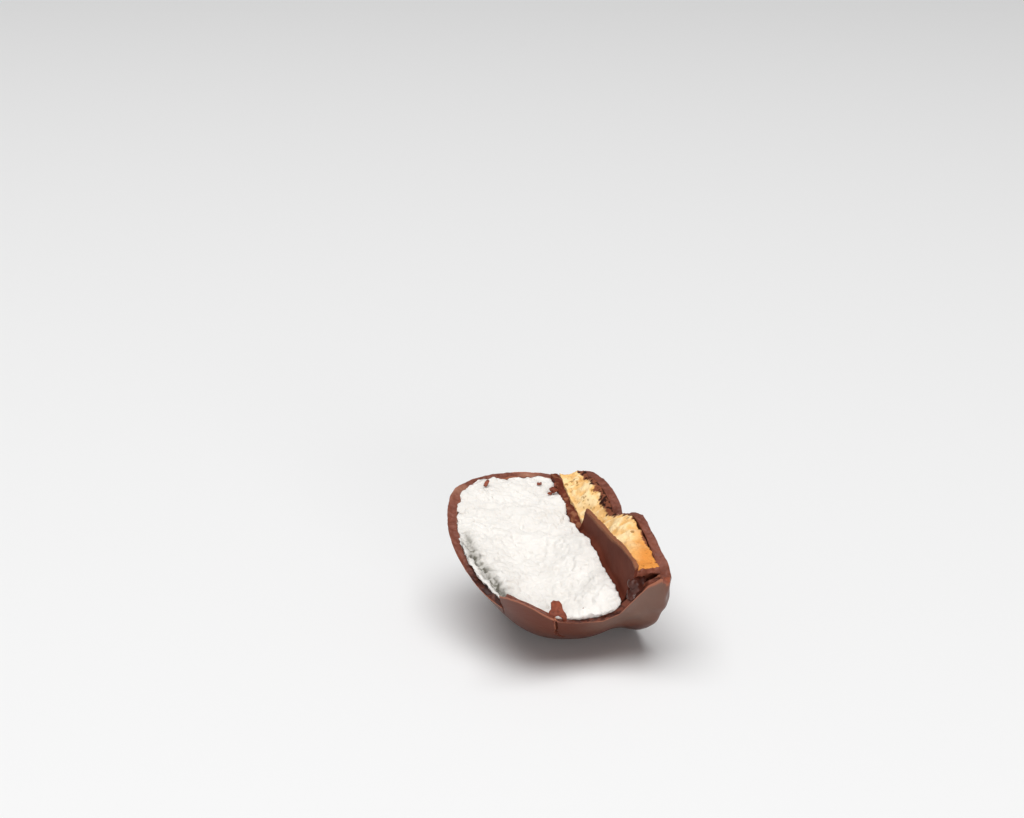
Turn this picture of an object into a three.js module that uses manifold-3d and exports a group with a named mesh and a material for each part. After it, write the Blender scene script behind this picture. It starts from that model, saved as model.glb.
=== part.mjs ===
// A broken-off side of a chocolate-coated marshmallow on a biscuit, lying on its round back, break upwards.
import * as THREE from 'three';
import { mergeVertices } from 'three/addons/utils/BufferGeometryUtils.js';
import Module from 'manifold-3d';

const wasm = await Module();
wasm.setup();

// Millimetres. Before it is laid down, the treat stands on z = 0 with its crown up, and it broke along
// y = 0: x runs along the break, y goes into the piece that is left, and a face's "proud" is how far it
// stands out to -y.

// The whole treat: a dome about an upright axis in front of the break
const DOME_RADIUS = 26.15;
const DOME_HEIGHT = 32.25;
const SIDE_POWER = 5.65;
const CROWN_POWER = 2.2;
const CROWN_LEAN = 0.6;
const AXIS_TO_BREAK = 12.15;
const WAIST = { depth: 1.7, height: 5.1, reach: 4.5 };
const LIP = { rounding: 2.2, reach: 0.4 };

// What is inside it, from the bottom up, with a fine gap between neighbours
const GAP = 0.3;
const COAT_THICKNESS = 1.1;
const BASE_THICKNESS = 1.8;
const BISCUIT_TOP = 6.5;
const LAYER_TOP = 8.1;

// The broken edges: [place, proud] along each one, the places being x or z as named
const BASE_EDGE_BY_X = [
  [-25, 9], [-23.2, 8.4], [-21, 7.6], [-19, 8.9], [-13, 9.6], [-8, 9.7], [-5.5, 9.3], [-3.1, 8],
  [-1, 6.6], [1, 4.4], [2.6, 3.4], [4, 3.2], [5, 4.1], [10, 4.2], [15.5, 2.9], [21, 0.4], [24.5, -1.2],
];
const FOOT_RIM_BY_Z = [[0, 9], [2.5, 9.9], [4.7, 7.9], [7.2, 3.8], [8.5, 1.7], [11.2, 0.7], [19.1, 0.7]];
const SHARD_RIM_BY_Z = [[19.1, 0.7], [21.5, 2.4], [24.1, 4], [26.3, 5], [28, 5], [29.2, 4.2], [29.5, 0]];
const PLATE_EDGE_BY_X = [
  [-23, 11.6], [-21.6, 11.7], [-16, 10.6], [-11.5, 9], [-4.1, 7], [3.2, 4.7], [4.4, 3.9], [5, 0.3],
  [12.6, 0.1], [18.7, 0.9],
];
const BISCUIT_FOOT_BY_X = [
  [-22.9, 2], [-22.2, 9.1], [-21, 9.6], [-13.6, 10], [-6, 8.4], [-1, 6.4], [3.5, 4.2], [7.2, 3.2],
  [13.5, 2.8], [21, 0.5],
];
const BISCUIT_HEAD_BY_X = [
  [-23.2, 2], [-22.6, 9.6], [-21.5, 9.9], [-16, 9], [-11.5, 8], [-4, 5.8], [0, 3.5], [4, 1],
  [12.6, 0.5], [18.7, 1], [22, 0.6],
];
const BANK_BY_X = [
  [-23, 1.2], [-21.5, 3.4], [-16.5, 3.8], [-11.1, 3.4], [-7.1, 4], [-2.6, 3.3], [0.6, 1.6], [7.4, 0.6],
  [13.2, 0.3], [22, 0],
];
const BASE_EDGE_DEPTH = 2.1;
const NEAR_SIDE_X = -17.3;

// The plate that the layer stands up as is thinner from this far above the marshmallow's bank
const PLATE_ROOT = 1.2;
const FREE_PLATE_TOP = 7.5;

// The marshmallow's broken face: how its bank against the biscuit slopes away, and a furrow under the crown
const BANK_SLOPE = { bottomZ: 8, topZ: 19 };
const FURROW = { depth: 1.2, below: 2, halfWidth: 1.4, fromX: 7, fullX: -2, nearFullX: -12.5, nearX: -14.5 };

// The foot's near corner is pushed in from the base
const TUCK = { rise: 1, from: { x: -21, y: -1, z: 5 }, full: { x: -24, y: -6 }, innerRadius: 17 };

// The crack that runs down the coat from the rim at the shard's foot
const CRACK = { width: 0.35, length: 7, depth: 8, x: -22.4, y: 1.2, z: 18.8, slope: 0.3 };

// The roughness of each broken face: [height, width] of the lumps that add up to it
const CHIPPED_COAT = [[0.12, 1.7], [0.1, 4.3]];
const SNAPPED_LAYER = [[0.3, 1.5]];
const CRUMBLY_BISCUIT = [[0.45, 2.6], [0.3, 1.1]];
const FLUFFY_MARSHMALLOW = [[0.45, 6.5], [0.2, 2.4]];

// How the piece lies: rolled onto its back, tipped, turned, and settled this deep onto small flat spots
const ROLL = THREE.MathUtils.degToRad(-87);
const TIP = THREE.MathUtils.degToRad(-14.5);
const TURN = THREE.MathUtils.degToRad(105.4);
const TABLE_LEVEL = -13.03;

// Blocks that cut the treat are this much larger than it, every way
const ROOMY = 100;

// Fineness of the facets
const ROUND_STEPS = 72;
const RISE_STEPS = 24;
const BASE_LEVELS = [0, 0.016, 0.037];
const COAT_CELL = 0.9;
const FACE_CELL = 1.1;
const CRUMB_CELL = 0.8;

// Colours
const CHOCOLATE = 0x6b3a2a;
const INNER_CHOCOLATE = 0x4f2a20;
const MARSHMALLOW = 0xf4f1ec;
const BISCUIT = 0xe0b469;

// Reads a list of [place, value] pairs in straight lines, flat beyond its ends.
function along(pairs, place) {
  const last = pairs.length - 1;
  if (place <= pairs[0][0]) return pairs[0][1];
  if (place >= pairs[last][0]) return pairs[last][1];
  const next = pairs.findIndex(([p]) => p > place);
  const [p0, v0] = pairs[next - 1];
  const [p1, v1] = pairs[next];
  return THREE.MathUtils.mapLinear(place, p0, p1, v0, v1);
}

// A fixed number from -1 to 1 for each corner of a square grid.
function cornerValue(column, row, seed) {
  const wave = Math.sin(column * 127.1 + row * 311.7 + seed * 74.7) * 43758.5453;
  return 2 * (wave - Math.floor(wave)) - 1;
}

// Smooth random relief from -1 to 1, with lumps about as wide as the cell.
function relief(x, z, cell, seed) {
  const column = Math.floor(x / cell);
  const row = Math.floor(z / cell);
  const right = THREE.MathUtils.smoothstep(x / cell - column, 0, 1);
  const up = THREE.MathUtils.smoothstep(z / cell - row, 0, 1);
  const { lerp } = THREE.MathUtils;
  const low = lerp(cornerValue(column, row, seed), cornerValue(column + 1, row, seed), right);
  const high = lerp(cornerValue(column, row + 1, seed), cornerValue(column + 1, row + 1, seed), right);
  return lerp(low, high, up);
}

// The dome's radius at a level from 0 (base) to 1 (crown), with its waist and its rounded bottom lip.
function domeRadius(level, height) {
  const round = DOME_RADIUS * (1 - level ** SIDE_POWER) ** (1 / CROWN_POWER);
  const waist = WAIST.depth * Math.exp(-(((height - WAIST.height) / WAIST.reach) ** 2));
  const lip = LIP.rounding * Math.exp(-height / LIP.reach);
  return round - waist - lip;
}

// How high a dome shrunk by an inset reaches over a place on the break.
function crownHeight(x, inset) {
  const out = (Math.hypot(x, AXIS_TO_BREAK) + inset) / DOME_RADIUS;
  return (DOME_HEIGHT - inset) * Math.max(0, 1 - out ** CROWN_POWER) ** (1 / SIDE_POWER);
}

// Turns a closed geometry into a solid that can be cut and joined.
function solid(geometry) {
  geometry.deleteAttribute('normal');
  geometry.deleteAttribute('uv');
  const closed = mergeVertices(geometry, 1e-4);
  return new wasm.Manifold(new wasm.Mesh({
    numProp: 3,
    vertProperties: new Float32Array(closed.attributes.position.array),
    triVerts: new Uint32Array(closed.index.array),
  }));
}

// A solid as a named mesh.
function mesh(name, body, color, roughness) {
  const { numProp, vertProperties, triVerts } = body.getMesh();
  const places = new Float32Array((vertProperties.length / numProp) * 3);
  for (let i = 0; i < places.length / 3; i++) {
    places.set(vertProperties.subarray(i * numProp, i * numProp + 3), i * 3);
  }
  const geometry = new THREE.BufferGeometry();
  geometry.setAttribute('position', new THREE.BufferAttribute(places, 3));
  geometry.setIndex(new THREE.BufferAttribute(new Uint32Array(triVerts), 1));
  geometry.computeVertexNormals();
  const made = new THREE.Mesh(geometry, new THREE.MeshStandardMaterial({ color, roughness, metalness: 0 }));
  made.name = name;
  return made;
}

// How far a point is raised where the foot's near corner is pushed in.
function tuck(x, y, z) {
  const { smoothstep } = THREE.MathUtils;
  const near = smoothstep(-x, -TUCK.from.x, -TUCK.full.x);
  const proud = smoothstep(-y, -TUCK.from.y, -TUCK.full.y);
  return TUCK.rise * near * proud * Math.max(0, 1 - z / TUCK.from.z);
}

// The whole treat's dome, shrunk by an inset and standing on a floor height.
function dome(inset, floor) {
  const tall = DOME_HEIGHT - inset;
  const rising = Array.from({ length: RISE_STEPS }, (_, i) => Math.sin(((i + 1) / RISE_STEPS) * Math.PI / 2));
  const lowest = floor / tall;
  const levels = [lowest, ...[...BASE_LEVELS, ...rising].filter((level) => level > lowest + 0.01)];
  const profile = levels.map((level) => {
    const height = Math.min(level, 1) * tall;
    const radius = level < 1 ? domeRadius(level, height) - inset : 0;
    return new THREE.Vector2(radius, height);
  });
  const base = [0, TUCK.innerRadius].map((radius) => new THREE.Vector2(radius, floor));
  const geometry = new THREE.LatheGeometry([...base, ...profile], ROUND_STEPS);
  geometry.rotateX(Math.PI / 2);
  geometry.translate(0, -AXIS_TO_BREAK, 0);
  const at = geometry.attributes.position;
  for (let i = 0; i < at.count; i++) {
    const [x, y, z] = [at.getX(i), at.getY(i), at.getZ(i)];
    const rise = THREE.MathUtils.inverseLerp(LAYER_TOP + GAP, DOME_HEIGHT, z);
    at.setZ(i, z - CROWN_LEAN * y * Math.max(0, rise) ** 1.5 + tuck(x, y, z));
  }
  return solid(geometry);
}

// All that lies behind a broken face, which stands proud of y = 0 by proud(x, z).
function behind(proud, cell) {
  const wide = 66;
  const high = 46;
  const lowest = -5;
  const columns = Math.round(wide / cell);
  const rows = Math.round(high / cell);
  const geometry = new THREE.BoxGeometry(wide, ROOMY, high, columns, 1, rows);
  geometry.translate(0, 0, high / 2 + lowest);
  const at = geometry.attributes.position;
  for (let i = 0; i < at.count; i++) {
    if (at.getY(i) < 0) at.setY(i, -proud(at.getX(i), at.getZ(i)));
  }
  return solid(geometry);
}

// Everything below a height.
function below(height) {
  const geometry = new THREE.BoxGeometry(ROOMY, ROOMY, ROOMY);
  geometry.translate(0, 0, height - ROOMY / 2);
  return solid(geometry);
}

// The roughness of a broken face, all its lumps together.
function rough(x, z, lumps) {
  return lumps.reduce((sum, [height, width]) => sum + height * relief(x, z, width, width), 0);
}

function coatProud(x, z) {
  const chips = rough(x, z, CHIPPED_COAT);
  if (z < BASE_EDGE_DEPTH) return along(BASE_EDGE_BY_X, x) + chips;
  if (x > NEAR_SIDE_X) return chips;
  return (z < SHARD_RIM_BY_Z[0][0] ? along(FOOT_RIM_BY_Z, z) : along(SHARD_RIM_BY_Z, z)) + chips;
}

function layerProud(x, z) {
  return along(PLATE_EDGE_BY_X, x) + rough(x, z, SNAPPED_LAYER);
}

function biscuitProud(x, z) {
  const up = THREE.MathUtils.smoothstep(z, BASE_THICKNESS, BISCUIT_TOP);
  const level = THREE.MathUtils.lerp(along(BISCUIT_FOOT_BY_X, x), along(BISCUIT_HEAD_BY_X, x), up);
  return level + rough(x, z, CRUMBLY_BISCUIT);
}

function marshmallowProud(x, z) {
  const { smoothstep } = THREE.MathUtils;
  const bank = along(BANK_BY_X, x) * (1 - smoothstep(z, BANK_SLOPE.bottomZ, BANK_SLOPE.topZ));
  const middle = crownHeight(x, COAT_THICKNESS + GAP) - FURROW.below;
  const across = 1 - smoothstep(Math.abs(z - middle), FURROW.halfWidth / 2, FURROW.halfWidth);
  const far = 1 - smoothstep(x, FURROW.fullX, FURROW.fromX);
  const near = smoothstep(x, FURROW.nearX, FURROW.nearFullX);
  const furrow = FURROW.depth * across * far * near;
  return bank - furrow + rough(x, z, FLUFFY_MARSHMALLOW);
}

// The narrow slit of the crack, through the coat.
function crack() {
  const geometry = new THREE.BoxGeometry(CRACK.depth, CRACK.length, CRACK.width);
  geometry.rotateX(-CRACK.slope);
  geometry.translate(CRACK.x, CRACK.y, CRACK.z);
  return solid(geometry);
}

// The table's block in the treat's own upright frame.
function table(lie) {
  const geometry = new THREE.BoxGeometry(ROOMY, ROOMY, ROOMY);
  geometry.translate(0, 0, TABLE_LEVEL - ROOMY / 2);
  geometry.applyQuaternion(lie.clone().invert());
  return solid(geometry);
}

const lie = new THREE.Quaternion().setFromEuler(new THREE.Euler(ROLL, TIP, TURN, 'ZYX'));
const filling = COAT_THICKNESS + GAP;

const coat = dome(0, 0)
  .subtract(dome(COAT_THICKNESS, BASE_THICKNESS))
  .intersect(behind(coatProud, COAT_CELL))
  .subtract(crack())
  .subtract(table(lie));
const biscuit = dome(filling, BASE_THICKNESS + GAP)
  .intersect(below(BISCUIT_TOP))
  .intersect(behind(biscuitProud, CRUMB_CELL));
const plateRoot = below(LAYER_TOP).intersect(behind((x) => along(BANK_BY_X, x) + PLATE_ROOT, FACE_CELL));
const layer = dome(filling, BISCUIT_TOP + GAP)
  .intersect(below(FREE_PLATE_TOP).add(plateRoot))
  .intersect(behind(layerProud, CRUMB_CELL));
const marshmallow = dome(filling, LAYER_TOP + GAP)
  .intersect(behind(marshmallowProud, FACE_CELL));

const treat = new THREE.Group();
treat.quaternion.copy(lie);
treat.add(
  mesh('chocolate_coat', coat, CHOCOLATE, 0.4),
  mesh('marshmallow', marshmallow, MARSHMALLOW, 0.9),
  mesh('chocolate_layer', layer, INNER_CHOCOLATE, 0.55),
  mesh('biscuit', biscuit, BISCUIT, 0.9),
);

// The origin is under the middle of the laid piece, on the surface it lies on.
const box = new THREE.Box3().setFromObject(treat, true);
const centre = box.getCenter(new THREE.Vector3());
const group = new THREE.Group();
treat.position.set(-centre.x, -centre.y, -box.min.z);
group.add(treat);

export default group;
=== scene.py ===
"""Looks of the broken piece of chocolate-coated marshmallow: finer copies of its four solids, with the torn,
crumbled and chipped detail of the break, and the crumbs that lie on it."""

import itertools
import math

import bmesh
import bpy
import numpy as np
from mathutils import Euler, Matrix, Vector


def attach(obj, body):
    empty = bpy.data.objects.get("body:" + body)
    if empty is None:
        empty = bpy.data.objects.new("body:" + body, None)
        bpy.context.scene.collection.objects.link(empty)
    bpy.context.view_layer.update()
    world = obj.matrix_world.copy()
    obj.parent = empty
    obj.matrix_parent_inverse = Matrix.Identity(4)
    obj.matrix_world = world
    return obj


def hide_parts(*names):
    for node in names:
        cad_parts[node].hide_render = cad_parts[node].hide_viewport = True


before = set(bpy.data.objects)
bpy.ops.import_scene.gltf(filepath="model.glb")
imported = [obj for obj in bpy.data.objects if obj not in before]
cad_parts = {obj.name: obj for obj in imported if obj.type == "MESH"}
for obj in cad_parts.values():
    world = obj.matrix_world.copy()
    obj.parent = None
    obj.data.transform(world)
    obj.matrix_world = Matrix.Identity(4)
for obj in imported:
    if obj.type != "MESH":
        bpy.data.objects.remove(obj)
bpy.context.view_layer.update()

MM = 0.001

# The treat as the part's source has it, in millimetres: it stands on z = 0 with its crown up and broke along
# y = 0. x runs along the break, y goes into the piece, and "proud" is how far a face stands out to -y.
DOME_RADIUS = 26.15
DOME_HEIGHT = 32.25
SIDE_POWER = 5.65
CROWN_POWER = 2.2
CROWN_LEAN = 0.6
LEAN_POWER = 1.5
LEAN_FROM = 8.4
AXIS_TO_BREAK = 12.15
WAIST_DEPTH, WAIST_HEIGHT, WAIST_REACH = 1.7, 5.1, 4.5
LIP_ROUNDING, LIP_REACH = 2.2, 0.4
COAT_THICKNESS = 1.25
BASE_THICKNESS = 1.8
BISCUIT_TOP = 6.6
LAYER_TOP = 8.2

# The gap that is left between two pieces of the treat
GAP = 0.06

# How it lies: the turn of the treat and where its origin is in the part's frame
LIE = Euler((math.radians(-87), math.radians(-14.5), math.radians(105.4)), "XYZ")
PLACE = (12.64, 4.48, 13.03)

# The broken edges: [place, proud] along each one
BASE_EDGE_BY_X = [
    [-25, 9], [-23.2, 8.4], [-21, 7.6], [-19, 8.9], [-13, 9.6], [-8, 9.7], [-5.5, 9.3], [-3.1, 8],
    [-1, 6.6], [1, 4.4], [2.6, 3.4], [4, 3.2], [5, 4.1], [10, 4.2], [15.5, 2.9], [21, 0.4], [24.5, -1.2],
]
FOOT_RIM_BY_Z = [[0, 9], [2.5, 9.9], [4.7, 7.9], [7.2, 3.8], [8.5, 1.7], [11.2, 0.7], [19.2, 0.7]]
SHARD_RIM_BY_Z = [[19.2, 0.9], [21.5, 2.5], [24.1, 4.2], [26.3, 5.1], [28, 5.2], [29.5, 4.2]]
PLATE_EDGE_BY_X = [
    [-23, 11.6], [-21.6, 11.7], [-16, 10.6], [-11.5, 9], [-4.1, 7], [2.2, 5.3], [4.2, 4.6], [4.5, 0.3],
    [12.6, 0.1], [18.7, 0.9],
]
BISCUIT_FOOT_BY_X = [
    [-22.9, 2], [-22.2, 9.1], [-21, 9.6], [-13.6, 9.7], [-8, 9.6], [-6, 9.1], [-3.1, 7.8], [-1, 6.5],
    [1, 4.7], [3.5, 4.3], [7.2, 4.3], [10, 4.3], [13.5, 3.5], [21, 0.9],
]
BISCUIT_HEAD_BY_X = [
    [-23.2, 2], [-22.6, 9.6], [-21.5, 9.9], [-16, 9], [-11.5, 8], [-4, 5.8], [0, 3.5], [4, 1],
    [12.6, 0.5], [18.7, 1], [22, 0.6],
]
BANK_BY_X = [
    [-23, 1.2], [-21.5, 3.4], [-16.5, 3.8], [-11.1, 3.4], [-7.1, 4], [-2.6, 3.3], [0.6, 1.6], [7.4, 0.6],
    [13.2, 0.3], [22, 0],
]

# Where the furrow under the crown runs: [x, z], and where the crack in the coat does: [y, z]
FURROW_BY_X = [[-14.2, 25.4], [-11, 26.7], [-7, 27.5], [-2, 28.2], [2, 28], [8, 27.6]]
CRACK_BY_Y = [[-3.6, 20.2], [-1.6, 19.8], [1.7, 18.7], [3.2, 18.4], [5.4, 16.6], [7.3, 15.2]]
CRACK_WIDTH, CRACK_DEPTH, CRACK_LIP = 0.13, 0.5, 0.28
CRACK_FADES = (3, 7.5)
CRACKED_SIDE = -8

# The base's edge reaches up to this height, and the shard's rim runs up to this sum of x and z
BASE_EDGE_DEPTH = 2.1
SHARD_END = 9.6

# How far the rim's inner edge lies below its outer one: [z, fall]
RIM_FALL_BY_Z = [[9, 0], [12, 0.45], [22, 0.5], [26, 0.9], [29.5, 1.7]]

# The rim's broken face, the plate that stands free, the foot's near corner and the biscuit's near end
RIM_STEPS, RIM_SUNK = 8, 0.2
FREE_PLATE_THINNING = 0.8
PLATE_END = 4.4
PLATE_END_SLANT = 0.8
FOOT_TUCK, TUCK_REACH = 1.0, 5.0
BISCUIT_END, BISCUIT_END_SLANT = -20.84, 0.18

# How finely the meshes are divided. The coat's last rows lie so close together at the crown that they would
# merge, so they are left off. Behind the hidden depth only smooth chocolate shows, and the mesh is thinner.
PROFILE_SAMPLES = 4000
RIM_ITERATIONS = 60
COAT_ROWS, COAT_COLUMNS, BASE_STEPS = 260, 240, 60
CROWN_ROWS = 4
HIDDEN_DEPTH = 2.5
MERGE_DISTANCE = 1e-3

# The places of the smooth and of the broken chocolate in the coat's list of materials
SMOOTH, BROKEN = 0, 1

# The camera: the photograph's angle of view, and its place in the part's frame in metres
CAMERA_LENS = 95.73
CAMERA_PLACE = (-0.00739, -0.44061, 0.18632)
CAMERA_DOWN = math.radians(18.5)

# Dark specks on the marshmallow: place (x, proud, z) and size
SPECKS = [
    ((-13.1, 0.5, 15.2), (0.5, 0.3, 0.35)),
    ((-12.3, 0.6, 12), (0.45, 0.3, 0.5)),
    ((1.5, 0.4, 16.2), (0.3, 0.2, 0.3)),
]

# Reddish crumbs on the inner layer's edge: place and size in the same way
CRUMBS = [
    ((15.6, 0.8, 9.2), (1.3, 0.8, 1.2)),
    ((14.9, 0.6, 9.9), (0.6, 0.4, 1)),
    ((17.1, 0.8, 8.3), (0.8, 0.6, 0.7)),
    ((11, 0.5, 8), (0.6, 0.5, 0.5)),
]

# The balls that the lump of melted chocolate is joined from: place (x, proud, z) and radius
LUMP_BALLS = [
    ((-21.9, 7.2, 6.2), 1.3),
    ((-22.0, 6.0, 5.7), 1.4),
    ((-21.8, 7.2, 5.1), 1.2),
    ((-22.1, 5.0, 6.2), 1.4),
]

# Loose chips of the coat: name, outline (across, up), foot (x, proud, z), thickness, spin and lean (degrees)
CHIPS = [
    ("coat_chip", [
        (-1.7, -0.3), (-1.5, 0.9), (-1.0, 1.5), (-1.1, 2.3), (-0.6, 2.7), (0.4, 2.6), (0.8, 2.0), (1.1, 1.1),
        (1.6, 0.1), (1.6, -0.8), (1.1, -0.8), (0.7, -0.1), (0.1, 0.25), (-0.4, 0.1), (-0.8, -0.6),
    ], (-21.7, 0.9, 18.9), 0.4, 0, -20),
    ("sliver", [
        (-0.3, -0.8), (-0.4, 0), (-0.1, 0.8), (0.3, 0.6), (0.35, -0.2), (0.25, -0.8),
    ], (18.9, 0.8, 20.6), 0.3, 35, -70),
    ("smear", [
        (-0.5, -0.3), (-0.4, 0.3), (0.1, 0.2), (0.5, 0.4), (0.45, -0.2), (0, -0.3),
    ], (18.1, 0.6, 11), 0.2, 0, -75),
    ("small_chip", [
        (-0.25, -0.4), (-0.3, 0.1), (0, 0.5), (0.3, 0.3), (0.25, -0.4),
    ], (-20.6, 1.2, 14.1), 0.25, 0, -20),
]

# Voxel sizes of the meshes that are joined from simple shapes
LUMP_VOXEL, CHIP_VOXEL = 0.1, 0.07

# The studio, in metres and watts. Each light has its name, place, target, width and height, and power.
LIGHTS = [
    ("above", (-0.15, -0.1, 1.3), (-0.15, -0.1, 0), (1.5, 1.5), 21),
    ("front", (0.25, -1.0, 0.18), (0, 0, 0), (0.6, 0.25), 5),
]
ROOM_LIGHT = 0.18
FLOOR_REACH = 3.0
FLOOR_COLOUR, FLOOR_ROUGHNESS = (0.85, 0.85, 0.85), 0.6

# One table of random numbers, which all relief is read from
LATTICE = np.random.default_rng(11).uniform(-1, 1, 8192)
LATTICE_FACTORS = (7919, 104729, 1299709)
SEED_SHIFT = 17.31


def lumps(points, size, seed=1.0):
    """Smooth random relief from -1 to 1 at each point, its lumps about as wide as size."""
    turn = np.array(Euler((seed, 2 * seed, 3 * seed)).to_matrix())
    cell = np.asarray(points, float) @ turn.T / size + seed * SEED_SHIFT
    base = np.floor(cell).astype(np.int64)
    part = cell - base
    part = part * part * (3 - 2 * part)
    total = np.zeros(cell.shape[:-1])
    for corner in itertools.product((0, 1), repeat=3):
        weight = np.prod(np.where(corner, part, 1 - part), axis=-1)
        x, y, z = np.moveaxis((base + corner) * LATTICE_FACTORS, -1, 0)
        total += weight * LATTICE[(x ^ y ^ z) % len(LATTICE)]
    return total


def relief(points, layers):
    """Random relief from several layers of (height, size, seed)."""
    return sum(height * lumps(points, size, seed) for height, size, seed in layers)


def smooth(value, low, high):
    """0 below low, 1 above high and a smooth step between them."""
    part = np.clip((value - low) / (high - low), 0, 1)
    return part * part * (3 - 2 * part)


def along(pairs, place):
    """Reads a list of [place, value] pairs in straight lines, flat beyond its ends."""
    places, values = zip(*pairs)
    return np.interp(place, places, values)


def at_front(points):
    """1 on the broken face and at its edges, fading to 0 behind it."""
    return smooth(-points[:, 1], -3, -1)


def on_the_break(x, z, stretch=1.0):
    """Points of the plane of the break, with heights squeezed by stretch so that lumps are drawn out."""
    x, z = np.broadcast_arrays(x, z)
    return np.stack([x, np.zeros_like(x), z / stretch], -1)


def dome_radius(level, height):
    """The dome's radius at a level from 0 (base) to 1 (crown)."""
    around = DOME_RADIUS * (1 - level**SIDE_POWER) ** (1 / CROWN_POWER)
    waist = WAIST_DEPTH * np.exp(-(((height - WAIST_HEIGHT) / WAIST_REACH) ** 2))
    lip = LIP_ROUNDING * np.exp(-height / LIP_REACH)
    return around - waist - lip


def leaned(height, y):
    """A point's height once the crown leans down into the piece."""
    rise = np.maximum(0, (height - LEAN_FROM) / (DOME_HEIGHT - LEAN_FROM))
    return height - CROWN_LEAN * y * rise**LEAN_POWER


def tucked(x, y, z):
    """A point's height once the foot's near corner is pushed in from the base."""
    return z + FOOT_TUCK * smooth(-x, 21, 24) * smooth(-y, 1, 6) * np.maximum(0, 1 - z / TUCK_REACH)


def rows_between(inset, floor, ceiling, count):
    """Levels evenly spaced along the rim of a dome shrunk by an inset, from a floor to a ceiling."""
    tall = DOME_HEIGHT - inset
    level = np.linspace(floor / tall, 1, PROFILE_SAMPLES)[:-1]
    radius = dome_radius(level, level * tall) - inset
    keep = (radius > AXIS_TO_BREAK) & (level * tall <= ceiling)
    level, radius = level[keep], radius[keep]
    out = np.sqrt(radius**2 - AXIS_TO_BREAK**2)
    if ceiling > tall:
        level, out = np.append(level, level[-1] + 1e-6), np.append(out, 0)
    steps = np.hypot(np.diff(out), np.diff(level * tall))
    length = np.concatenate([[0], np.cumsum(steps)])
    return np.interp(np.linspace(0, length[-1], count + 1), length, level)


def rim_angle(radius, height, side, proud):
    """The angle round the axis at which each level's circle reaches the break, on one side."""
    stand = np.zeros_like(radius)
    for _ in range(RIM_ITERATIONS):
        angle = np.arccos(np.clip((AXIS_TO_BREAK - stand) / radius, -1, 1))
        x = side * radius * np.sin(angle)
        stand = 0.6 * stand + 0.4 * proud(x, leaned(height, -stand))
    return side * angle


def wall(inset, floor, ceiling, proud, rows, columns):
    """A grid of points on a shrunk dome behind the break: rows go up, columns from near to far."""
    tall = DOME_HEIGHT - inset
    level = rows_between(inset, floor, ceiling, rows)
    height = level * tall
    radius = np.maximum(dome_radius(level, height) - inset, AXIS_TO_BREAK)
    near = rim_angle(radius, height, -1, proud)
    far = rim_angle(radius, height, 1, proud)
    if ceiling > tall:
        near[-1] = far[-1] = 0
    angle = near[:, None] + (far - near)[:, None] * np.linspace(0, 1, columns + 1)
    x = radius[:, None] * np.sin(angle)
    y = radius[:, None] * np.cos(angle) - AXIS_TO_BREAK
    z = leaned(height[:, None], y)
    return np.stack([x, y, tucked(x, y, z)], -1)


def between(first, last, steps):
    """A grid of points in straight lines from one row of points to another."""
    part = np.linspace(0, 1, steps + 1)[:, None, None]
    return first + (last - first) * part


def broken(first, last):
    """A strip of broken chocolate between two edges, sunk a little and grainy between them."""
    strip = between(first, last, RIM_STEPS)
    part = np.linspace(0, 1, RIM_STEPS + 1)[:, None]
    inside = np.minimum(1, 4 * part * (1 - part))
    grain = relief(strip, [(0.5, 1.1, 3), (0.5, 0.45, 4)])
    strip[..., 1] += RIM_SUNK * inside * (0.5 + 2 * grain)
    return strip


def front_edge(arc, proud):
    """The edge of the break from one end of an arc to the other, level with its far end in between."""
    x = np.linspace(arc[0, 0], arc[-1, 0], len(arc))
    z = np.full(len(arc), arc[-1, 2])
    y = -proud(x, z)
    edge = np.stack([x, y, tucked(x, y, z)], -1)
    edge[[0, -1]] = arc[[0, -1]]
    return edge


def front_face(back, proud):
    """The broken face between the two ends of each row of a wall."""
    part = np.linspace(0, 1, back.shape[1])[:, None]
    face = back[:, :1] + (back[:, -1:] - back[:, :1]) * part
    face[..., 1] = -proud(face[..., 0], face[..., 2])
    return face


def new_mesh(name, patches, materials=()):
    """One closed mesh from grids of points in the treat's millimetres, joined where their edges meet.
    Each grid comes with the place of its material in the list of them."""
    mesh = bmesh.new()
    for grid, place in patches:
        rows, columns = grid.shape[:2]
        verts = [mesh.verts.new(p) for p in grid.reshape(-1, 3)]
        for i, j in itertools.product(range(rows - 1), range(columns - 1)):
            a = i * columns + j
            face = mesh.faces.new([verts[a], verts[a + 1], verts[a + columns + 1], verts[a + columns]])
            face.material_index = place
            face.smooth = True
    bmesh.ops.remove_doubles(mesh, verts=mesh.verts, dist=MERGE_DISTANCE)
    bmesh.ops.dissolve_degenerate(mesh, edges=mesh.edges, dist=MERGE_DISTANCE / 2)
    bmesh.ops.recalc_face_normals(mesh, faces=mesh.faces)
    return from_bmesh(name, mesh, materials)


def from_bmesh(name, mesh, materials=()):
    """An object in the scene from a mesh in the making."""
    data = bpy.data.meshes.new(name)
    for material in materials:
        data.materials.append(material)
    mesh.to_mesh(data)
    mesh.free()
    made = bpy.data.objects.new(name, data)
    bpy.context.collection.objects.link(made)
    return made


def points_of(made, kind="co"):
    """The places of a mesh's vertices as rows of x, y, z, or their normals."""
    flat = np.empty(len(made.data.vertices) * 3)
    made.data.vertices.foreach_get(kind, flat)
    return flat.reshape(-1, 3)


def set_points(made, points):
    """Moves the vertices of a mesh."""
    made.data.vertices.foreach_set("co", np.asarray(points, float).ravel())
    made.data.update()


def paint(made, name, values):
    """Keeps a number for each vertex, for the material to read."""
    layer = made.data.attributes.new(name, "FLOAT", "POINT")
    layer.data.foreach_set("value", np.asarray(values, float))


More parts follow.
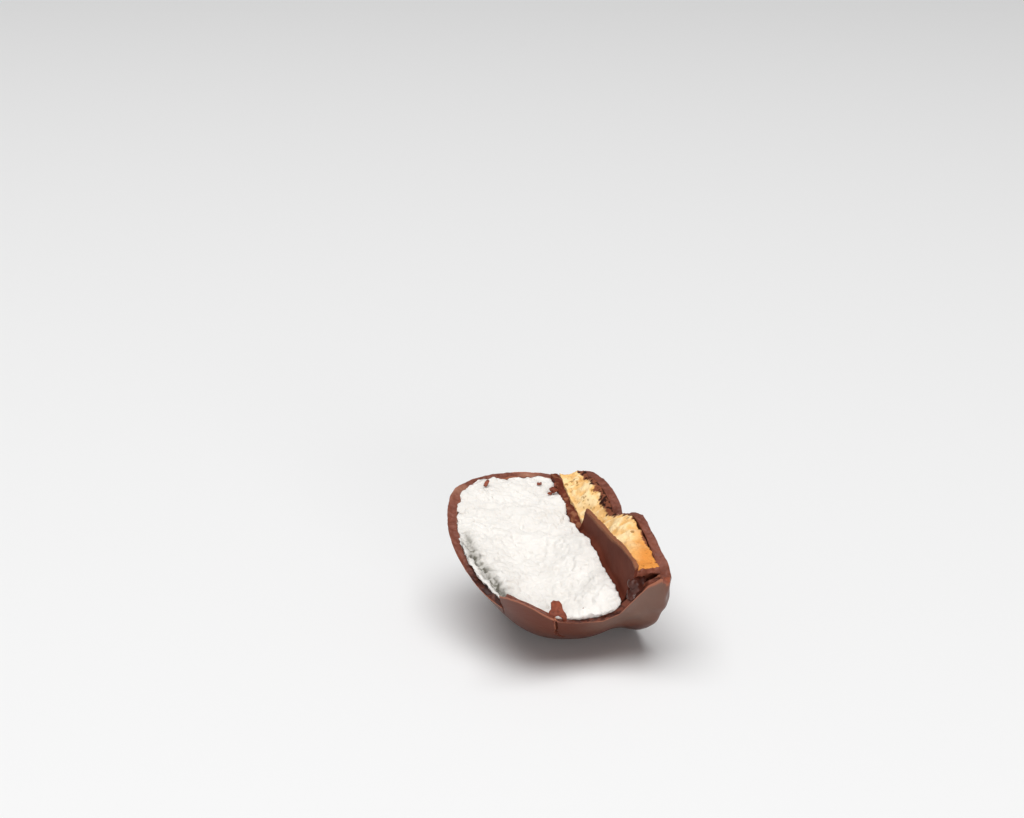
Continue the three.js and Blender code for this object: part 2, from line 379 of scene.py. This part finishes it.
def lay_down(made):
    """Takes a mesh from the treat's millimetres to its place in the part's frame, flat where it would sink
    below the floor."""
    turn = np.array(LIE.to_matrix())
    points = points_of(made) @ turn.T + PLACE
    points[:, 2] = np.maximum(points[:, 2], 0)
    set_points(made, points * MM)


def bake(made):
    """Makes the effect of an object's modifiers its own mesh."""
    graph = bpy.context.evaluated_depsgraph_get()
    result = bpy.data.meshes.new_from_object(made.evaluated_get(graph))
    made.modifiers.clear()
    made.data = result


def thin_out(made, ratio):
    """Merges small faces of a mesh behind the break, where nothing fine shows."""
    group = made.vertex_groups.new(name="hidden")
    group.add(np.flatnonzero(points_of(made)[:, 1] > HIDDEN_DEPTH).tolist(), 1.0, "REPLACE")
    thin = made.modifiers.new("thin", "DECIMATE")
    thin.ratio = ratio
    thin.vertex_group = "hidden"
    bake(made)
    made.vertex_groups.clear()


def coat_proud(x, z):
    """The coat's broken edge: the base's front, the foot's rim, the raised shard and the plain rim."""
    at = on_the_break(x, z)
    chips = relief(at, [(0.1, 1.9, 1), (0.07, 0.7, 2), (0.12, 4.3, 3)])
    near = np.where(z < SHARD_RIM_BY_Z[0][0], along(FOOT_RIM_BY_Z, z), along(SHARD_RIM_BY_Z, z))
    rim = np.where((x + z < SHARD_END) & (x < 0), near, 0)
    return np.where(z < BASE_EDGE_DEPTH, along(BASE_EDGE_BY_X, x), rim) + chips


def coat_inner_proud(x, z):
    """The inner edge of the coat's rim, which falls away along the near side."""
    return coat_proud(x, z) - along(RIM_FALL_BY_Z, z) * smooth(-x, 12, 18)


def furrow(x, z):
    """How deep in the furrow under the crown a place is, from 0 to 1."""
    off = (z - along(FURROW_BY_X, x)) / (1 + 0.4 * lumps(on_the_break(x, z), 2.1, 8))
    return np.exp(-off * off) * smooth(x, -15, -13) * (1 - smooth(x, -1, 8))


def billows(points, size, seed):
    """Rounded tufts with creases between them, from 0 in the creases to 1."""
    return np.minimum(1, 2.2 * np.abs(lumps(points, size, seed)))


def marshmallow_proud(x, z):
    """The marshmallow's torn face: a bank beside the biscuit, a furrow under the crown, and soft hollows."""
    bank = along(BANK_BY_X, x) * (1 - smooth(z, 8, 19))
    drawn = on_the_break(x, z, 1.7)
    hollows = relief(drawn, [(0.9, 5.5, 4), (0.55, 2.6, 5)])
    deep = furrow(x, z)
    pits = 0.5 * lumps(on_the_break(x, z), 0.8, 6)
    return bank + hollows - deep * (1.5 + pits)


def layer_proud(x, z):
    """The inner chocolate layer's snapped edge."""
    at = on_the_break(x, z)
    level = along(PLATE_EDGE_BY_X, x + PLATE_END_SLANT * (z - BISCUIT_TOP) * smooth(x, 0, 2))
    rough = 1 + 2 * smooth(x, PLATE_END + 0.1, PLATE_END + 0.6)
    return level + rough * relief(at, [(0.15, 1.5, 6), (0.1, 0.6, 7)])


def biscuit_proud(x, z):
    """The biscuit's crumbled edge."""
    at = on_the_break(x, z)
    up = smooth(z, BASE_THICKNESS, BISCUIT_TOP)
    foot, head = along(BISCUIT_FOOT_BY_X, x), along(BISCUIT_HEAD_BY_X, x)
    return foot + (head - foot) * up + relief(at, [(0.4, 2.6, 8), (0.25, 1.1, 9)])


def filling(name, floor, ceiling, proud, rows, columns, deep):
    """A closed slab of what the coat holds, between two heights, with its broken face."""
    back = wall(COAT_THICKNESS + GAP, floor, ceiling, proud, rows, columns)
    face = front_face(back, proud)
    grids = [back, face, between(face[0], back[0], deep)]
    if ceiling < DOME_HEIGHT:
        grids.append(between(face[-1], back[-1], deep))
    return new_mesh(name, [(grid, 0) for grid in grids])


def past_crack(points):
    """How far each point lies on the shard's side of the coat's crack, which wanders down from the rim."""
    wander = relief(points, [(0.16, 0.9, 2), (0.1, 0.4, 3)])
    return points[:, 2] - along(CRACK_BY_Y, points[:, 1]) + wander


def refine_by_crack(made):
    """Splits the faces along the crack into small ones, so that they can hold it."""
    points = points_of(made)
    x, y, _ = points.T
    near = (np.abs(past_crack(points)) < 0.8) & (x < CRACKED_SIDE) & (y < 8)
    mesh = bmesh.new()
    mesh.from_mesh(made.data)
    edges = [edge for edge in mesh.edges if all(near[vert.index] for vert in edge.verts)]
    bmesh.ops.subdivide_edges(mesh, edges=edges, cuts=3, use_grid_fill=True)
    mesh.to_mesh(made.data)
    mesh.free()


def crack_relief(points):
    """The crack's groove, and the shard's lip that stands out beside it."""
    x, y, _ = points.T
    past = past_crack(points)
    groove = np.exp(-((past / CRACK_WIDTH) ** 2))
    lip = smooth(past, 0, 0.2) * (1 - smooth(past, 0.5, 6))
    return (CRACK_LIP * lip - CRACK_DEPTH * groove) * (1 - smooth(y, *CRACK_FADES)) * (x < CRACKED_SIDE)


def coat_waves(points):
    """The coat's gentle unevenness, which is stronger at its pinched foot."""
    x, _, z = points.T
    foot = smooth(-x, 14, 20) * (1 - smooth(z, 5, 10))
    return relief(points, [(0.2, 9, 5), (0.06, 3.5, 6)]) + 0.42 * foot * lumps(points, 3.2, 7)


def paint_coat(made):
    """The coat's masks: painted highlights on its edges, the crack's lip and the rim's top, painted shade on
    the rim left of the shard with the foot rim's own dark specks, a painted sheen on the foot and a painted
    glow through its thin corner.
    """
    points = points_of(made)
    x, y, z = points.T
    past = past_crack(points)
    # Edge: painted highlight along the coat's outer rim and on the crack's lip
    lip = smooth(past, 0.05, 0.15) * (1 - smooth(past, 0.25, 0.4))
    lip_reach = (1 - smooth(y, 1, 4)) * (x < CRACKED_SIDE)
    outer_edge_highlight = smooth(coat_proud(x, z) + y, 0.5, 0.15) * (z > 0.3)
    paint(made, "edge", np.maximum(outer_edge_highlight, 0.7 * lip * lip_reach))
    # Dark: painted shade on the stretch of rim left of the shard, and the foot rim's own dark specks
    shade_left_of_shard = smooth(-x, 2, 8) * smooth(x + z, SHARD_END, SHARD_END + 0.8) * smooth(z, 23, 26)
    foot_rim = smooth(-x, 18, 20) * smooth(z, 2.5, 4) * (1 - smooth(z, 15, 19))
    speckles = smooth(relief(points, [(1, 0.6, 15), (0.4, 1.5, 16)]), -0.2, 0.1)
    paint(made, "dark", np.maximum(shade_left_of_shard * (0.6 + 0.4 * speckles), 0.8 * foot_rim * speckles))
    # Pale: painted sheen, in patches, on the top of the rim
    paint(made, "pale", smooth(x, 14, 19) * smooth(z, 9, 12) * smooth(lumps(points, 2.5, 17), -0.5, 0.5))
    # Painted sheen: a greyish colour on the foot that stands in for its glossy reflection
    sheen_heights = (1 - smooth(z, 8, 18)) * smooth(z, -2, 4)
    paint(made, "painted_sheen", smooth(-x, 14, 19) * sheen_heights * (1 - smooth(y, 1, 5)))
    # Thin: painted reddish glow of light shining through the thin corner
    paint(made, "thin", smooth(-x, 21.6, 23) * smooth(-y, 7, 9) * (1 - smooth(z, 0.6, 2.6)))


def coat(outside, broken_face):
    """The chocolate coat: its outside, its inside, the broken rim between them, and its crack."""
    size = (COAT_ROWS, COAT_COLUMNS)
    outer = wall(0, 0, math.inf, coat_proud, *size)[:-CROWN_ROWS]
    inner = wall(COAT_THICKNESS, BASE_THICKNESS, math.inf, coat_inner_proud, *size)[:-CROWN_ROWS]
    outer_front = front_edge(outer[0], coat_proud)
    inner_front = front_edge(inner[0], coat_proud)
    made = new_mesh("coat", [
        (outer, SMOOTH),
        (inner, SMOOTH),
        (between(outer_front, outer[0], BASE_STEPS), SMOOTH),
        (between(inner_front, inner[0], BASE_STEPS), SMOOTH),
        (broken(outer_front, inner_front), BROKEN),
        (broken(outer[-1], inner[-1]), BROKEN),
        (broken(outer[:, 0], inner[:, 0]), BROKEN),
        (broken(outer[:, -1], inner[:, -1]), BROKEN),
    ], [outside, broken_face])
    thin_out(made, 0.5)
    refine_by_crack(made)
    points = points_of(made)
    shift = coat_waves(points) + crack_relief(points)
    set_points(made, points + points_of(made, "normal") * shift[:, None])
    made.data.set_sharp_from_angle(angle=math.radians(38))
    paint_coat(made)
    lay_down(made)
    return made


def marshmallow():
    """The marshmallow, fluffy where it tore, with painted shade in its furrow."""
    made = filling("marshmallow_filling", LAYER_TOP + GAP, math.inf, marshmallow_proud,
                   rows=220, columns=300, deep=40)
    thin_out(made, 0.6)
    points = points_of(made)
    tufts = [(0.3, 2.8, 3), (0.13, 1.3, 4), (0.07, 0.6, 5)]
    shift = sum(height * (billows(points, size, seed) - 0.5) for height, size, seed in tufts)
    front = at_front(points)
    set_points(made, points + points_of(made, "normal") * (shift * front)[:, None])
    ragged = np.stack([lumps(points, 0.7, seed) for seed in (6, 7, 8)], -1)
    set_points(made, points_of(made) + 0.22 * ragged * front[:, None])
    # Furrow: painted shade, grey and mottled, in the furrow's recess
    mottle = smooth(relief(points, [(1, 0.7, 9), (0.5, 0.35, 10)]), -0.5, 0.5)
    deep = np.minimum(1, 1.5 * furrow(points[:, 0], points[:, 2]))
    paint(made, "furrow", deep * front * (0.4 + 0.6 * mottle))
    lay_down(made)
    return made


def inner_layer():
    """The chocolate between biscuit and marshmallow, rough where it snapped and thinner where it is free."""
    made = filling("inner_layer", BISCUIT_TOP + GAP, LAYER_TOP, layer_proud, rows=14, columns=300, deep=60)
    points = points_of(made)
    x, y, z = points.T.copy()
    free = smooth(-y - along(BANK_BY_X, x), -1, 0.3) * (1 - smooth(x, PLATE_END + 0.2, PLATE_END + 0.5))
    points[:, 2] -= FREE_PLATE_THINNING * free * smooth(z, BISCUIT_TOP, LAYER_TOP)
    # Edge: painted highlight along the snapped edge, in patches beyond the plate's end
    from_edge = -y - along(PLATE_EDGE_BY_X, x)
    snapped = smooth(from_edge + 0.2 * lumps(points, 1.2, 8), -0.6, -0.25)
    paint(made, "edge", snapped * np.where(x < PLATE_END, 1, smooth(lumps(points, 0.7, 9), 0, 0.5)))
    wave = 0.12 * lumps(points, 7, 5)
    points += points_of(made, "normal") * wave[:, None]
    points[:, 0] += 0.9 * smooth(-points[:, 0], 20.5, 22.5) * smooth(points[:, 1], -9.5, -8)
    set_points(made, points)
    made.data.set_sharp_from_angle(angle=math.radians(40))
    lay_down(made)
    return made


def cover_near_end(made):
    """Gives the faces at the biscuit's near end the second material, the chocolate that sticks there."""
    for face in made.data.polygons:
        if face.center.x + BISCUIT_END_SLANT * face.center.z < BISCUIT_END:
            face.material_index = 1


def paint_biscuit(made, points, grains, pores, front):
    """The biscuit's masks: painted light and shade on the crumb, paler where it stands out and darker in its
    creases, pores, and its toasted side with burnt spots.
    """
    x, _, z = points.T
    up = smooth(z, 2.5, 5.5)
    ragged = z + relief(points, [(0.5, 1.2, 7), (0.4, 0.45, 8)])
    toasted = 1 - smooth(ragged - 0.9 * smooth(x, -2, 3), 2, 2.3)
    speckles = smooth(relief(points, [(1, 0.4, 11), (0.6, 2.5, 14)]), 0.6, 0.8) * smooth(x, -12, 8)
    paint(made, "pore", np.maximum(pores, 0.8 * speckles) * front)
    # Pale: painted highlight on the crumbs that stand out, leaving painted shade in the creases
    paint(made, "pale", smooth(grains, -0.4, 0.7) * smooth(x, -19, -9))
    paint(made, "near", smooth(-x + 3 * lumps(points, 1.6, 12) - 3 * up, 7, 18))
    paint(made, "toasted", toasted)
    paint(made, "burnt", toasted * smooth(x, -3, 1) * smooth(lumps(points, 0.45, 13), 0.15, 0.3))


def biscuit():
    """The biscuit, with the open crumb of its break, toasted by the base, and chocolate on its near end."""
    made = filling("biscuit_crumb", BASE_THICKNESS + GAP, BISCUIT_TOP, biscuit_proud,
                   rows=34, columns=330, deep=40)
    cover_near_end(made)
    points = points_of(made)
    x, y, _ = points.T
    large, small = lumps(points, 1.9, 3), lumps(points, 0.85, 4)
    crumbs = 0.4 * large + 0.25 * small + 0.12 * billows(points, 0.6, 5)
    pores = smooth(lumps(points, 0.45, 5), 0.55, 0.75) * smooth(lumps(points, 2.3, 6), -0.2, 0.3)
    front = at_front(points)
    under_ledge = smooth(-x, 20.6, 21.2) * smooth(y, -8.9, -8.3)
    points[:, 1] -= (crumbs - 0.5 * pores) * front
    points[:, 0] += 1.3 * under_ledge
    set_points(made, points)
    paint_biscuit(made, points, large + small, pores, front)
    lay_down(made)
    return made


def join_voxels(made, size):
    """Joins a mesh's parts into one skin of small faces."""
    join = made.modifiers.new("join", "REMESH")
    join.mode = "VOXEL"
    join.voxel_size = size


def melted_lump():
    """The glossy lump of chocolate between the biscuit's near end, the plate and the foot's rim."""
    mesh = bmesh.new()
    for (x, proud, z), radius in LUMP_BALLS:
        ball = bmesh.ops.create_icosphere(mesh, subdivisions=4, radius=radius)
        bmesh.ops.translate(mesh, verts=ball["verts"], vec=(x, -proud, z))
    made = from_bmesh("melted_lump", mesh)
    join_voxels(made, LUMP_VOXEL)
    soften = made.modifiers.new("soften", "SMOOTH")
    soften.factor = 0.8
    soften.iterations = 20
    bake(made)
    points = points_of(made)
    bumps = relief(points, [(0.25, 1.1, 4), (0.08, 0.5, 5)])
    set_points(made, points + points_of(made, "normal") * bumps[:, None])
    smooth_faces(made)
    lay_down(made)
    return made


def chip(name, outline, place, thickness, spin, lean):
    """A curled chip of the coat. It faces the crown, spins in its own plane and then leans."""
    mesh = bmesh.new()
    for side in (-1, 1):
        ring = [mesh.verts.new((across, side * thickness / 2, up)) for across, up in outline]
        mesh.faces.new(ring)
    mesh.verts.ensure_lookup_table()
    count = len(outline)
    for k in range(count):
        after = (k + 1) % count
        mesh.faces.new([mesh.verts[k], mesh.verts[after], mesh.verts[count + after], mesh.verts[count + k]])
    bmesh.ops.recalc_face_normals(mesh, faces=mesh.faces)
    made = from_bmesh(name, mesh)
    join_voxels(made, CHIP_VOXEL)
    bake(made)
    points = points_of(made)
    rough = 0.1 * lumps(points, 0.6, 3)
    points = points + np.stack([rough, 0.1 * points[:, 2] ** 2 + rough, rough], -1)
    turn = np.array(Euler((math.radians(lean), math.radians(spin), 0), "YXZ").to_matrix())
    across, through, up = (points @ turn.T).T
    x, proud, z = place
    set_points(made, np.stack([x + through, -proud - up, z - across], -1))
    smooth_faces(made)
    lay_down(made)
    return made


def smooth_faces(made):
    """Shades a mesh as one round surface."""
    made.data.polygons.foreach_set("use_smooth", [True] * len(made.data.polygons))
    made.data.update()


def crumb(name, place, size, seed):
    """A small irregular crumb at (x, proud, z) on the break."""
    mesh = bmesh.new()
    bmesh.ops.create_icosphere(mesh, subdivisions=3, radius=1)
    made = from_bmesh(name, mesh)
    points = points_of(made)
    x, proud, z = place
    swell = 1 + 0.5 * lumps(points, 0.9, seed) + 0.25 * lumps(points, 0.45, seed + 1)
    set_points(made, points * swell[:, None] * np.array(size) / 2 + (x, -proud, z))
    smooth_faces(made)
    lay_down(made)
    return made


def plain_material(name, colour, roughness):
    """A material of one colour."""
    material = bpy.data.materials.new(name)
    material.use_nodes = True
    shader = material.node_tree.nodes["Principled BSDF"]
    shader.inputs["Base Color"].default_value = (*colour, 1)
    shader.inputs["Roughness"].default_value = roughness
    return material


def noise(tree, place, scale, detail):
    """A noise texture of so many lumps per metre, and its value."""
    made = tree.nodes.new("ShaderNodeTexNoise")
    made.inputs["Scale"].default_value = scale
    made.inputs["Detail"].default_value = detail
    tree.links.new(place, made.inputs["Vector"])
    return made.outputs["Fac"]


def wandering_colour(tree, place, colours, scale):
    """A colour that wanders between two."""
    contrast = tree.nodes.new("ShaderNodeMapRange")
    contrast.inputs["From Min"].default_value = 0.36
    contrast.inputs["From Max"].default_value = 0.64
    tree.links.new(noise(tree, place, scale, 4), contrast.inputs["Value"])
    mix = tree.nodes.new("ShaderNodeMix")
    mix.data_type = "RGBA"
    mix.inputs["A"].default_value = (*colours[0], 1)
    mix.inputs["B"].default_value = (*colours[1], 1)
    tree.links.new(contrast.outputs["Result"], mix.inputs["Factor"])
    return mix.outputs["Result"]


def masked_colour(tree, under, mask, colour):
    """Brings in a colour over another where the mesh's mask says."""
    reader = tree.nodes.new("ShaderNodeAttribute")
    reader.attribute_name = mask
    over = tree.nodes.new("ShaderNodeMix")
    over.data_type = "RGBA"
    over.inputs["B"].default_value = (*colour, 1)
    tree.links.new(reader.outputs["Fac"], over.inputs["Factor"])
    tree.links.new(under, over.inputs["A"])
    return over.outputs["Result"]


def grainy_normal(tree, place, grains):
    """A normal with layers of grain, each as lumps per metre and height in metres."""
    normal = None
    for per_metre, height in grains:
        raised = tree.nodes.new("ShaderNodeBump")
        raised.inputs["Distance"].default_value = height
        tree.links.new(noise(tree, place, per_metre, 3), raised.inputs["Height"])
        if normal:
            tree.links.new(normal, raised.inputs["Normal"])
        normal = raised.outputs["Normal"]
    return normal


def food_material(name, colours, scale, roughness, specular, grains, masks=()):
    """A material whose colour wanders between two, with layers of grain and masks of other colours."""
    material = plain_material(name, colours[0], roughness)
    tree = material.node_tree
    shader = tree.nodes["Principled BSDF"]
    shader.inputs["Specular IOR Level"].default_value = specular
    place = tree.nodes.new("ShaderNodeTexCoord").outputs["Object"]
    colour = wandering_colour(tree, place, colours, scale)
    for mask, other in masks:
        colour = masked_colour(tree, colour, mask, other)
    tree.links.new(colour, shader.inputs["Base Color"])
    tree.links.new(grainy_normal(tree, place, grains), shader.inputs["Normal"])
    return material


def outer_chocolate():
    """Smooth milk chocolate, with a painted greyish sheen on its foot, painted highlights along its edges
    and a painted reddish glow through its thin corner.
    """
    return food_material(
        "chocolate", colours=[(0.128, 0.037, 0.021), (0.108, 0.03, 0.017)], scale=90, roughness=0.36,
        specular=0.18, grains=[(900, 0.00003)],
        masks=[("painted_sheen", (0.165, 0.092, 0.07)), ("edge", (0.36, 0.13, 0.075)), ("thin", (0.2, 0.055, 0.03))])


def broken_chocolate():
    """The grainy face of broken milk chocolate, lighter than the smooth coat partly for its own colour and
    partly as painted light that the rim's edges catch, with a painted sheen on the rim's top, painted shade
    by the shard, the foot rim's dark specks and a painted glow at the thin corner.
    """
    return food_material(
        "broken_chocolate", colours=[(0.215, 0.062, 0.035), (0.16, 0.043, 0.024)], scale=700, roughness=0.5,
        specular=0.3, grains=[(2500, 0.0001)],
        masks=[("pale", (0.36, 0.16, 0.1)), ("dark", (0.04, 0.009, 0.006)), ("thin", (0.34, 0.08, 0.035))])


def white_foam():
    """Matt white marshmallow, a little translucent, with painted shade in its furrow."""
    made = food_material(
        "marshmallow", colours=[(0.82, 0.79, 0.75), (0.76, 0.73, 0.69)], scale=180, roughness=0.95,
        specular=0.2, grains=[(1400, 0.00012), (3800, 0.00008)], masks=[("furrow", (0.17, 0.16, 0.13))])
    shader = made.node_tree.nodes["Principled BSDF"]
    shader.inputs["Subsurface Weight"].default_value = 0.2
    shader.inputs["Subsurface Radius"].default_value = (1, 0.9, 0.8)
    shader.inputs["Subsurface Scale"].default_value = 0.0006
    return made


def dark_chocolate():
    """The inner layer's chocolate, matt, with a painted highlight along its snapped edge."""
    return food_material(
        "inner_chocolate", colours=[(0.15, 0.038, 0.022), (0.115, 0.027, 0.015)], scale=250, roughness=0.55,
        specular=0.04, grains=[(1500, 0.00004)], masks=[("edge", (0.27, 0.105, 0.055))])


def golden_crumb():
    """Baked biscuit crumb, darker in places, with painted light and shade that makes it paler where the
    crumb stands out than in its creases.
    """
    return food_material(
        "biscuit", colours=[(0.95, 0.63, 0.28), (0.86, 0.48, 0.16)], scale=450, roughness=0.9,
        specular=0.15, grains=[(2200, 0.00015), (5000, 0.00008)],
        masks=[("pale", (0.98, 0.75, 0.42)), ("near", (0.74, 0.29, 0.06)), ("pore", (0.34, 0.16, 0.03)),
               ("toasted", (0.22, 0.07, 0.035)), ("burnt", (0.03, 0.008, 0.005))])


def glossy_chocolate():
    """Chocolate that melted and set again."""
    return food_material(
        "melted_chocolate", colours=[(0.1, 0.026, 0.016), (0.055, 0.014, 0.009)], scale=500, roughness=0.28,
        specular=0.35, grains=[(1200, 0.0001)])


def reddish_chocolate():
    """The thin chocolate of chips and crumbs, which light gets into."""
    return food_material(
        "chocolate_chip", colours=[(0.28, 0.06, 0.025), (0.16, 0.035, 0.016)], scale=1500, roughness=0.5,
        specular=0.3, grains=[(3500, 0.00008)])


def dress(made, node, slot, *materials):
    """Gives a piece its materials and its place in the part."""
    for material in materials:
        made.data.materials.append(material)
    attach(made, "root")
    if node:
        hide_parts(node)


def treat(dark):
    """The four pieces of the treat, each in place of the solid that it is a finer copy of."""
    broken_face = broken_chocolate()
    dress(coat(outer_chocolate(), broken_face), "chocolate_coat", "chocolate")
    dress(marshmallow(), "marshmallow", "marshmallow", white_foam())
    dress(inner_layer(), "chocolate_layer", "inner_chocolate", dark)
    dress(biscuit(), "biscuit", "biscuit", golden_crumb(), broken_face)


def loose_pieces(dark):
    """The lump of melted chocolate, the chips, the specks and the crumbs that lie on the break."""
    dress(melted_lump(), None, "chocolate", glossy_chocolate())
    reddish = reddish_chocolate()
    for about in CHIPS:
        dress(chip(*about), None, "chocolate", reddish)
    for number, (place, size) in enumerate(SPECKS):
        dress(crumb("speck_%d" % number, place, size, number + 2), None, "inner_chocolate", dark)
    for number, (place, size) in enumerate(CRUMBS):
        dress(crumb("crumb_%d" % number, place, size, number + 7), None, "chocolate", reddish)


def camera():
    """The camera, where the photograph was taken from."""
    data = bpy.data.cameras.new("camera")
    data.sensor_width = 36
    data.lens = CAMERA_LENS
    data.clip_start = 0.01
    made = bpy.data.objects.new("camera", data)
    made.location = CAMERA_PLACE
    made.rotation_euler = (math.pi / 2 - CAMERA_DOWN, 0, 0)
    bpy.context.collection.objects.link(made)
    bpy.context.scene.camera = made


def floor():
    """A plain pale floor."""
    data = bpy.data.meshes.new("floor")
    corners = [(x * FLOOR_REACH, y * FLOOR_REACH, 0) for x, y in ((-1, -1), (1, -1), (1, 1), (-1, 1))]
    data.from_pydata(corners, [], [(0, 1, 2, 3)])
    made = bpy.data.objects.new("floor", data)
    bpy.context.collection.objects.link(made)
    data.materials.append(plain_material("floor", FLOOR_COLOUR, FLOOR_ROUGHNESS))


def area_light(name, place, target, size, power):
    """A soft light at a place, turned to a target."""
    data = bpy.data.lights.new(name, "AREA")
    data.shape = "RECTANGLE"
    data.size, data.size_y = size
    data.energy = power
    made = bpy.data.objects.new(name, data)
    made.location = place
    made.rotation_euler = (Vector(target) - Vector(place)).to_track_quat("-Z", "Y").to_euler()
    bpy.context.collection.objects.link(made)


def lights():
    """A wide soft light above, a lower one in front of the piece, and a dim white room."""
    world = bpy.data.worlds.new("studio")
    world.use_nodes = True
    world.node_tree.nodes["Background"].inputs["Color"].default_value = (1, 1, 1, 1)
    world.node_tree.nodes["Background"].inputs["Strength"].default_value = ROOM_LIGHT
    bpy.context.scene.world = world
    bpy.context.scene.view_settings.view_transform = "Standard"
    for light in LIGHTS:
        area_light(*light)


camera()
floor()
lights()
inner_chocolate = dark_chocolate()
treat(inner_chocolate)
loose_pieces(inner_chocolate)
